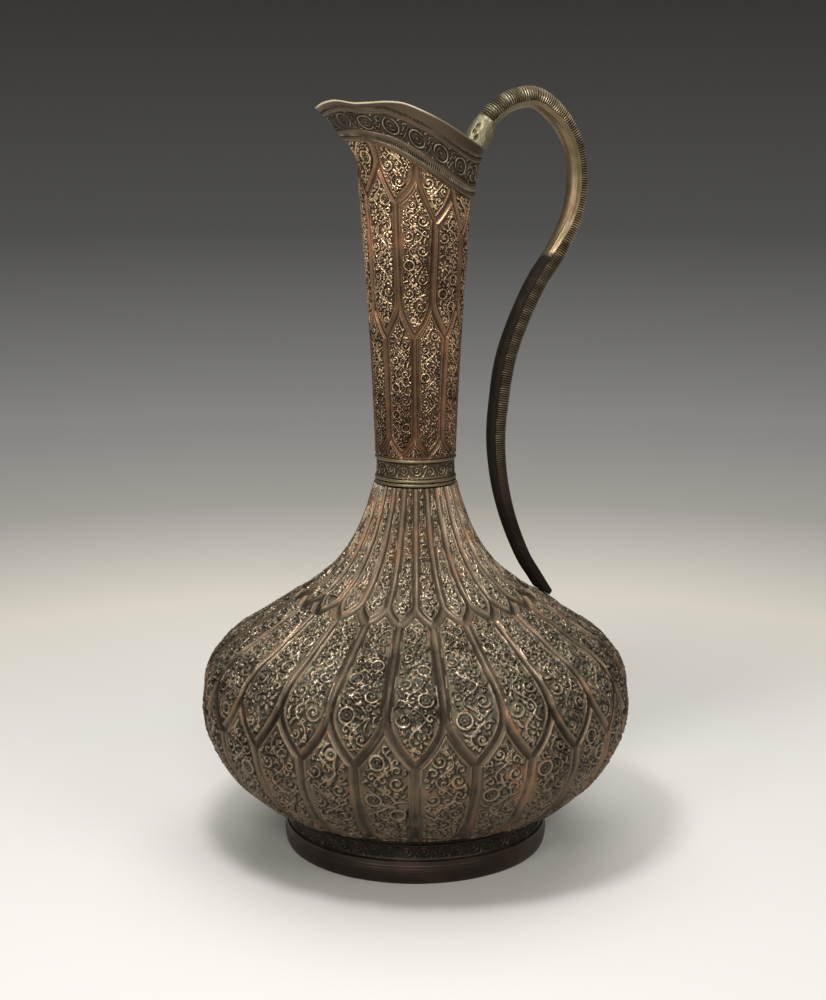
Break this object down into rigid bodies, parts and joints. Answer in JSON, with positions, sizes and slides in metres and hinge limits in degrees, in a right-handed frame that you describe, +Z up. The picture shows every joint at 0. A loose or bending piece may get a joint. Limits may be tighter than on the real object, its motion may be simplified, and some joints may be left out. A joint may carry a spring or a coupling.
{
  "type": "ibrik ewer",
  "caption": "Round-bellied metal ewer on a ring foot, with a slender neck, a beaked pouring mouth, a banded collar and a tall looped handle.",
  "frame": {"origin": "middle of the foot ring's underside, on the ewer's axis", "axes": "+Z up the ewer's axis, +X towards the handle, -X towards the spout"},
  "size_m": [0.21, 0.21, 0.3705],
  "materials": {
    "foot_metal": "darkened copper, worn at the lip, engraved band",
    "body_metal": "patinated copper with chased floral panels, rubbed ridges and green-grey recesses",
    "collar_metal": "patinated copper wire and sleeve, pale rubbed ridges",
    "neck_metal": "red-brown patinated copper with chased floral panels",
    "handle_metal": "cast copper alloy, olive gold above and nearly black below, notched outer strip",
    "solder_metal": "pale dull solder and copper alloy, pitted"
  },
  "bodies": {
    "root": {"foot_ring": "foot_metal", "lower_bowl": "body_metal", "shoulder_shell": "body_metal", "collar_wire_bottom": "collar_metal", "collar_wire_middle": "collar_metal", "collar_sleeve": "collar_metal", "collar_wire_top": "collar_metal", "neck_tube": "neck_metal", "mouth_piece": "neck_metal", "handle_palm": "handle_metal", "handle_bow": "handle_metal", "handle_back": "handle_metal", "handle_root": "solder_metal"}
  },
  "joints": []
}
